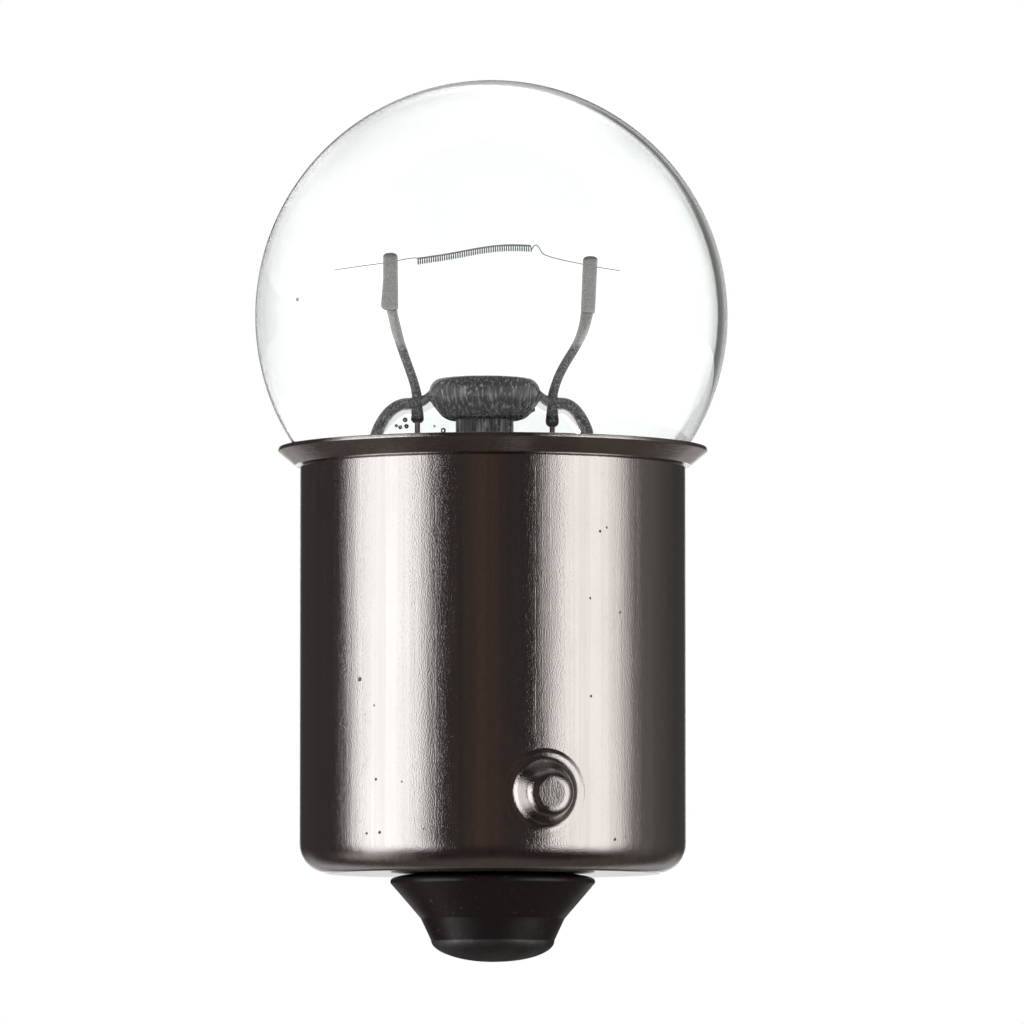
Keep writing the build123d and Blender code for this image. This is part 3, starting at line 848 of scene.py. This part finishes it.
def clamp(rings):
    """A folded strip through rings of (depth, height, normal angle, left edge, right edge, slant)."""
    verts = []
    half = LEAF / 2
    soft = LEAF_SOFT
    for depth, height, lean, left, right, slant in rings:
        corners = [
            (left, -half + soft), (left, half - soft), (left + soft, half),
            (right - soft, half), (right, half - soft), (right, -half + soft),
            (right - soft, -half), (left + soft, -half),
        ]
        for x, off in corners:
            drop = slant * (x - left) / (right - left)
            verts.append(on_mount(x, depth + math.cos(lean) * off, height + math.sin(lean) * off - drop))
    return verts, tube_faces(len(rings), 8)


def fold(top, bottom, edges, slant, slant_fade=2.5, steps=24, bend_steps=12):
    """Rings of a clamp from the front flap's slanting lower end over the top to the back leaf's lower end."""
    rings = []
    centre = top - LEAF_CENTRE - LEAF / 2
    for step in range(steps + 1):
        height = bottom + (centre - bottom) * step / steps
        lower = max(1 - slant_fade * step / steps, 0.0)
        rings.append((-LEAF_CENTRE, height, math.pi, *edges(height, True), slant * lower))
    for step in range(1, bend_steps):
        angle = math.pi - math.pi * step / bend_steps
        height = centre + LEAF_CENTRE * math.sin(angle)
        outside = centre + (LEAF_CENTRE + LEAF / 2) * math.sin(angle)
        rings.append((LEAF_CENTRE * math.cos(angle), height, angle, *edges(outside, True), 0.0))
    for step in range(steps + 1):
        height = centre + (bottom - centre) * step / steps
        rings.append((LEAF_CENTRE, height, 0.0, *edges(height, False), 0.0))
    return rings


def rounded(height, top, bottom, radius):
    """How far a rounded corner draws an edge in at this height."""
    over = max(height - (top - radius), (bottom + radius) - height, 0.0)
    over = min(over, radius)
    return radius - math.sqrt(max(radius ** 2 - over ** 2, 0.0))


def strip(x, height, half, thick, twist, square):
    """A station where a lead is flattened, with its half width, half thickness, twist and squareness."""
    return Vector((x, LEAF_CENTRE, height)), half, thick, twist, square


def rod(x, height, radius=LEAD_WIRE):
    """A station where a lead is round."""
    return Vector((x, LEAF_CENTRE, height)), radius, radius, 0, 2.0


def bar(stations, sides=20):
    """A bar through stations in the mount frame."""
    verts = []
    count = len(stations)
    for index, (centre, half, thick, twist, square) in enumerate(stations):
        before = stations[max(index - 1, 0)][0]
        after = stations[min(index + 1, count - 1)][0]
        along = (after - before).normalized()
        across = (Vector((1, 0, 0)) - along * along.x).normalized()
        deep = along.cross(across)
        turn = Matrix.Rotation(math.radians(twist), 3, along)
        across = turn @ across
        deep = turn @ deep
        for side in range(sides):
            angle = 2 * math.pi * side / sides
            c = math.cos(angle)
            s = math.sin(angle)
            u = math.copysign(abs(c) ** (2 / square), c) * half
            v = math.copysign(abs(s) ** (2 / square), s) * thick
            verts.append(on_mount(*(centre + across * u + deep * v)))
    return verts, tube_faces(count, sides)


def add_lead(name, clamp_mesh, stations, node):
    """A clamp and its wire as one piece, softened once."""
    verts, faces = clamp_mesh
    wire_verts, wire_faces = bar(stations)
    wire_faces = [[index + len(verts) for index in face] for face in wire_faces]
    piece = add_piece(name, verts + wire_verts, faces + wire_faces, "nickel_wire", [node])
    smooth = piece.modifiers.new("soft", "SUBSURF")
    smooth.levels = 1
    smooth.render_levels = 1


def add_left_lead():
    """The left lead, whose flap widens to the left and whose wire is twisted below the clamp."""
    top = 21.51
    bottom = 19.24
    corner = 0.13
    left_edge = -3.99
    right_edge = -3.42
    flare = 0.1
    flare_start = 0.45
    front_lean = 0.02
    front_lean_start = 0.6
    back_lean = 0.03

    def edges(height, front):
        t = (top - height) / (top - bottom)
        draw = rounded(height, top, bottom if front else bottom - 1, corner)
        if not front:
            return left_edge + draw, right_edge + back_lean * t - draw
        widened = flare * max(t - flare_start, 0) / (1 - flare_start)
        leaning = front_lean * max(t - front_lean_start, 0)
        return left_edge - widened + draw, right_edge + leaning - draw

    stations = [
        strip(-3.69, 19.75, 0.25, 0.07, 0, 4.0),
        strip(-3.66, 19.35, 0.23, 0.07, 0, 4.0),
        strip(-3.62, 19.12, 0.205, 0.09, 18, 3.6),
        strip(-3.56, 18.85, 0.21, 0.12, 34, 3.0),
        strip(-3.50, 18.6, 0.205, 0.16, 30, 2.6),
        strip(-3.45, 18.4, 0.21, 0.19, 18, 2.2),
        strip(-3.37, 18.1, 0.19, 0.19, 6, 2.0),
        rod(-3.17, 17.5), rod(-2.95, 16.9), rod(-2.76, 16.35), rod(-2.67, 15.95, 0.19),
        rod(-2.64, 15.6, 0.23), rod(-2.64, 15.2, 0.24), rod(-2.64, 15.02, 0.25),
        rod(-2.64, 14.9, 0.27), rod(-2.64, 14.79, 0.2),
    ]
    add_lead("left_clamp_wire", clamp(fold(top, bottom, edges, slant=0.05)), stations, "left_lead")


def add_right_lead():
    """The right lead, whose clamp leans to the left going down."""
    top = 21.37
    bottom = 19.08
    corner = 0.14
    left_edge = 3.86
    right_edge = 4.44
    left_lean = 0.1
    right_lean = 0.11

    def edges(height, front):
        t = (top - height) / (top - bottom)
        draw = rounded(height, top, bottom if front else bottom - 1, corner)
        return left_edge - left_lean * t + draw, right_edge - right_lean * t - draw

    stations = [
        strip(4.07, 19.6, 0.25, 0.07, 0, 4.0),
        strip(4.03, 19.2, 0.25, 0.08, 0, 4.0),
        strip(3.98, 18.95, 0.24, 0.11, 0, 3.2),
        strip(3.93, 18.7, 0.225, 0.16, 0, 2.6),
        strip(3.85, 18.4, 0.215, 0.2, 0, 2.2),
        rod(3.68, 18.0), rod(3.45, 17.6), rod(3.16, 17.15), rod(2.92, 16.7), rod(2.75, 16.25),
        rod(2.66, 15.9, 0.19), rod(2.64, 15.6, 0.23), rod(2.64, 15.15, 0.225), rod(2.64, 14.98, 0.25),
        rod(2.64, 14.85, 0.27), rod(2.64, 14.72, 0.26), rod(2.64, 14.6, 0.15),
    ]
    add_lead("right_clamp_wire", clamp(fold(top, bottom, edges, slant=0.0)), stations, "right_lead")


def add_bubbles(name, spots, slot):
    """Small bubbles enclosed in glass: each a sphere whose faces look inwards."""
    shape = bmesh.new()
    for spot, radius in spots:
        bmesh.ops.create_icosphere(shape, subdivisions=3, radius=radius * MM, matrix=Matrix.Translation(spot))
    bmesh.ops.reverse_faces(shape, faces=shape.faces)
    mesh = bpy.data.meshes.new(name)
    shape.to_mesh(mesh)
    shape.free()
    add_object(name, mesh, slot)


def add_press_bubbles():
    """Bubbles in the press beside the left wire, and one beside the bowl, in the mount frame."""
    bubbles = [
        (-3.12, 0.0, 14.9, 0.095), (-3.31, 0.0, 14.61, 0.08), (-3.07, 0.05, 14.65, 0.09),
        (-3.46, 0.0, 14.67, 0.06), (-1.97, 0.0, 14.65, 0.05), (-1.62, 0.0, 14.49, 0.1),
        (1.88, -0.1, 15.29, 0.1),
    ]
    spots = [(on_mount(x, y, z), radius) for x, y, z, radius in bubbles]
    add_bubbles("press_bubbles", spots, "stem_glass")


def add_globe_seeds():
    """Seeds in the globe's front wall, each at a depth below its outer face."""
    seeds = [(-7.63, 19.57, 0.06, 0.064), (2.44, 20.28, 0.1, 0.014), (7.4, 18.6, 0.1, 0.014)]
    spots = [(on_front(x, z, GLOBE_RADIUS - depth, GLOBE_CENTRE), radius) for x, z, depth, radius in seeds]
    add_bubbles("globe_seeds", spots, "clear_glass")


def thicken_seal_wires():
    """Makes both thin wires fill their channels in the press, so that no gap shows in the glass."""
    for name in ("ground_wire", "contact_wire"):
        swell = nodes[name].modifiers.new("swell", "DISPLACE")
        swell.strength = SEAL_SWELL * MM
        swell.mid_level = 0


class Sky:
    """The surroundings, painted by direction in a frame that is turned to the camera."""

    def __init__(self, g):
        self.g = g
        turn = g.node("ShaderNodeMapping", vector_type="TEXTURE")
        turn.inputs["Rotation"].default_value = (0, 0, math.radians(PHOTO_AZIMUTH))
        g.join(g.node("ShaderNodeTexCoord").outputs["Generated"], turn.inputs["Vector"])
        way = turn.outputs["Vector"]
        x, y, z = g.axes(way)
        tilt = math.radians(BACKDROP_TILT)
        straight = g.dot(way, Vector((0, math.cos(tilt), math.sin(tilt))))
        rise = g.dot(way, Vector((0, -math.sin(tilt), math.cos(tilt))))
        self.turns = self.part_of_turn(x, g.times(y, -1.0))
        self.height = g.scaled(z, 0.5, 0.5)
        self.bent = g.math("ARCCOSINE", straight)
        self.clock = self.part_of_turn(rise, x)

    def part_of_turn(self, side, ahead):
        """An angle as a part of a full turn, with 0.5 straight ahead."""
        angle = self.g.math("ARCTAN2", side, ahead)
        return self.g.plus(self.g.math("DIVIDE", angle, 2 * math.pi), 0.5)

    def around(self, stops):
        """Colours at angles in degrees from the camera's side, to the right."""
        places = [(0.5 + angle / 360, tone) for angle, tone in stops]
        return self.g.ramp(self.turns, places)

    def upward(self, stops):
        """Colours at angles in degrees above the horizon."""
        places = [(0.5 + 0.5 * math.sin(math.radians(angle)), tone) for angle, tone in stops]
        return self.g.ramp(self.height, places)

    def outward(self, stops):
        """Colours at angles in degrees from the middle of the backdrop."""
        places = [(math.radians(angle), tone) for angle, tone in stops]
        return self.g.ramp(self.bent, places)

    def until(self, start, end):
        """Runs from 1 to 0 between two angles in degrees, counted from the backdrop's right upwards."""
        return self.g.fade(self.clock, 0.5 + start / 360, 0.5 + end / 360)


def room_view(sky):
    """The room round the lights: dark, paler behind and overhead, with a glow at the lower left."""
    g = sky.g
    dim = (0.024, 0.02, 0.018)
    room = sky.upward([
        (-88, (0.07, 0.058, 0.05)), (-72, dim), (0, dim), (52, (0.03, 0.026, 0.024)),
        (62, (0.13, 0.121, 0.117)), (84, (0.17, 0.16, 0.155)),
    ])
    behind = sky.around([(-110, 1), (-90, 0), (90, 0), (110, 1)])
    under = sky.upward([(-80, 1), (-10, 1), (0, 0)])
    above = sky.upward([(18, 0), (34, 1)])
    room = g.mix(g.times(behind, under), room, (0.075, 0.06, 0.052, 1))
    room = g.mix(g.times(behind, above), room, (0.14, 0.131, 0.127, 1))
    glow_tone = (0.42, 0.4, 0.39)
    glow = sky.around([(-128, 0), (-112, glow_tone), (-84, glow_tone), (-60, 0)])
    low = sky.upward([(-64, 0), (-40, 1), (-12, 1), (-4, 0)])
    return g.vector("ADD", room, g.vector("MULTIPLY", glow, low))


def metal_view(sky):
    """What metal mirrors: two upright soft lights with a warm strip between them, and pale strips behind."""
    g = sky.g
    dark = (0.035, 0.03, 0.028)
    warm = (0.08, 0.047, 0.036)
    left = (1.53, 1.51, 1.51)
    right = (1.29, 1.24, 1.21)
    edge = (0.06, 0.055, 0.052)
    lights = sky.around([
        (-180, edge), (-150, (0.045, 0.04, 0.038)), (-96, (0.045, 0.038, 0.036)), (-88, left), (-47, left),
        (-36, dark), (-14, dark), (-8, warm), (-1, warm), (5, dark), (31, dark), (40, right), (76, right),
        (92, (0.16, 0.143, 0.135)), (112, (0.11, 0.098, 0.092)), (136, (0.055, 0.049, 0.046)), (180, edge),
    ])
    level = sky.upward([(-50, 0), (-40, 0.1), (-33, 0.6), (-24, 1), (16, 1), (29, 0)])
    view = g.mix(level, room_view(sky), lights)
    aside = sky.around([(-175, 0), (-170, 1), (-160, 1), (-150, 0), (150, 0), (160, 1), (170, 1), (175, 0)])
    lower = sky.upward([(-44, 0), (-34, 1), (-10, 1), (-5, 0)])
    view = g.mix(g.times(aside, lower), view, (0.36, 0.345, 0.335, 1))
    back = sky.around([(-176, 1), (-170, 0), (170, 0), (176, 1)])
    horizon = sky.upward([(-9, 0), (-5, 1), (10, 1), (16, 0)])
    return g.mix(g.times(back, horizon), view, (1.45, 1.45, 1.45, 1))


def rim_view(sky, part):
    """The bright and dark bands that run along the globe's edge, which differ from side to side."""
    g = sky.g
    left = g.ramp(part, [(0.0, 0.5), (0.1, (0.3, 0.305, 0.3)), (0.4, (0.26, 0.265, 0.26)), (0.5, 0.7)])
    pale = g.ramp(part, [(0.0, 1.2), (0.3, 0.9)])
    top = g.ramp(part, [(0.0, 0.9), (0.12, 0.7), (0.22, 1.1), (0.4, 1.2), (0.48, 0.8), (0.6, 1)])
    right = g.ramp(part, [
        (0.0, 2.0), (0.2, 1.8), (0.32, (1.0, 1.0, 0.98)), (0.45, (0.62, 0.615, 0.6)),
        (0.55, (0.24, 0.245, 0.235)), (0.75, (0.19, 0.195, 0.185)),
    ])
    corner = g.ramp(part, [
        (0.0, 1.1), (0.14, 0.55), (0.32, 0.6), (0.38, 1), (0.47, 1), (0.52, (0.22, 0.225, 0.22)),
        (0.66, (0.2, 0.205, 0.2)), (0.72, 0.8),
    ])
    rim = g.mix(sky.until(20, 36), corner, right)
    rim = g.mix(sky.until(52, 70), top, rim)
    rim = g.mix(sky.until(108, 122), left, rim)
    rim = g.mix(sky.until(-120, -80), rim, left)
    rim = g.mix(sky.until(172, 158), rim, pale)
    return g.mix(sky.until(-165, -150), rim, pale)


def glass_view(sky):
    """What glass mirrors inside itself: pale sides, a dim ceiling and the bands of the globe's edge."""
    g = sky.g
    sides = sky.around([
        (-180, 1.15), (-154, 1.1), (-146, 0.4), (-120, 0.75), (-60, 0.75), (-30, 0.3), (30, 0.3), (60, 0.75),
        (125, 0.7), (146, (0.16, 0.165, 0.16)), (160, (0.3, 0.305, 0.3)), (170, 1.1), (180, 1.15),
    ])
    ceiling = sky.upward([(26, 1), (36, 0.3), (80, 0.2)])
    part = g.math("DIVIDE", sky.bent, math.radians(RIM_REACH))
    return g.mix(g.fade(part, 0.86, 1.0), g.vector("MULTIPLY", sides, ceiling), rim_view(sky, part))


def clear_view(sky):
    """The backdrop through the glass, brighter towards the globe's edge, where the wall takes light away."""
    g = sky.g

    def gain(stops):
        return sky.outward([(angle, (value, 1.015 * value, 1.01 * value)) for angle, value in stops])

    right = gain([(4, 1.2), (8, 1.34), (14, 1.7), (26, 2.0)])
    top = gain([(2.5, 1.2), (5.2, 1.5), (8, 2.3), (12, 4.0), (16, 3.0), (20, 2.0)])
    left = gain([(1.6, 1.22), (2.6, 1.62), (3.5, 2.25), (4.7, 3.6), (6.3, 6.0), (13, 4.5), (17, 2.0)])
    view = g.mix(sky.until(40, 72), top, right)
    view = g.mix(sky.until(138, 108), view, left)
    view = g.mix(sky.until(-105, -75), view, left)
    shade = sky.upward([(30, 1), (44, (0.1, 0.105, 0.105))])
    return g.vector("MULTIPLY", view, shade)


def add_world():
    """Studio light: white for matte surfaces and the backdrop, and the views that metal and glass show."""
    world = bpy.data.worlds.new("studio")
    scene.world = world
    world.use_nodes = True
    world.cycles.sampling_method = "NONE"
    world.node_tree.nodes.clear()
    g = Graph(world.node_tree)
    sky = Sky(g)
    white = (1, 1, 1, 1)
    path = g.node("ShaderNodeLightPath").outputs
    reflected = g.math("GREATER_THAN", path["Glossy Depth"], 0.5)
    through = g.math("GREATER_THAN", path["Transmission Depth"], 0.5)
    scattered = g.math("GREATER_THAN", path["Diffuse Depth"], 0.5)
    seen = g.mix(path["Is Camera Ray"], clear_view(sky), white)
    mirrored = g.mix(through, metal_view(sky), glass_view(sky))
    background = g.node("ShaderNodeBackground")
    g.join(g.mix(scattered, g.mix(reflected, seen, mirrored), white), background.inputs["Color"])
    g.join(background.outputs[0], g.node("ShaderNodeOutputWorld").inputs["Surface"])


def add_floor(half=3, height=-46 * MM):
    """A wide pale floor below the object, which the plate doesn't mirror."""
    mesh = bpy.data.meshes.new("floor")
    corners = [(-half, -half, 0), (half, -half, 0), (half, half, 0), (-half, half, 0)]
    mesh.from_pydata(corners, [], [(0, 1, 2, 3)])
    floor = bpy.data.objects.new("floor", mesh)
    floor.location = (0, 0, height)
    floor.visible_glossy = False
    scene.collection.objects.link(floor)
    dress(floor, floor_paint())


def add_camera():
    """The camera, whose width of view at the object is the photographed field."""
    camera = bpy.data.objects.new("camera", bpy.data.cameras.new("camera"))
    scene.collection.objects.link(camera)
    camera.data.sensor_width = SENSOR_WIDTH
    camera.data.lens = SENSOR_WIDTH * PHOTO_DISTANCE / PHOTO_FIELD
    camera.data.clip_start = 0.01
    camera.data.clip_end = 10
    place, toward = camera_place()
    camera.location = place
    camera.rotation_euler = (-toward).to_track_quat("-Z", "Y").to_euler()
    scene.camera = camera


add_cap()
add_pin("front_pin", -1)
add_pin("rear_pin", 1)
add_solder_dome()
add_globe()
add_filament()
add_left_lead()
add_right_lead()
add_press_bubbles()
add_globe_seeds()
thicken_seal_wires()
add_world()
add_floor()
add_camera()
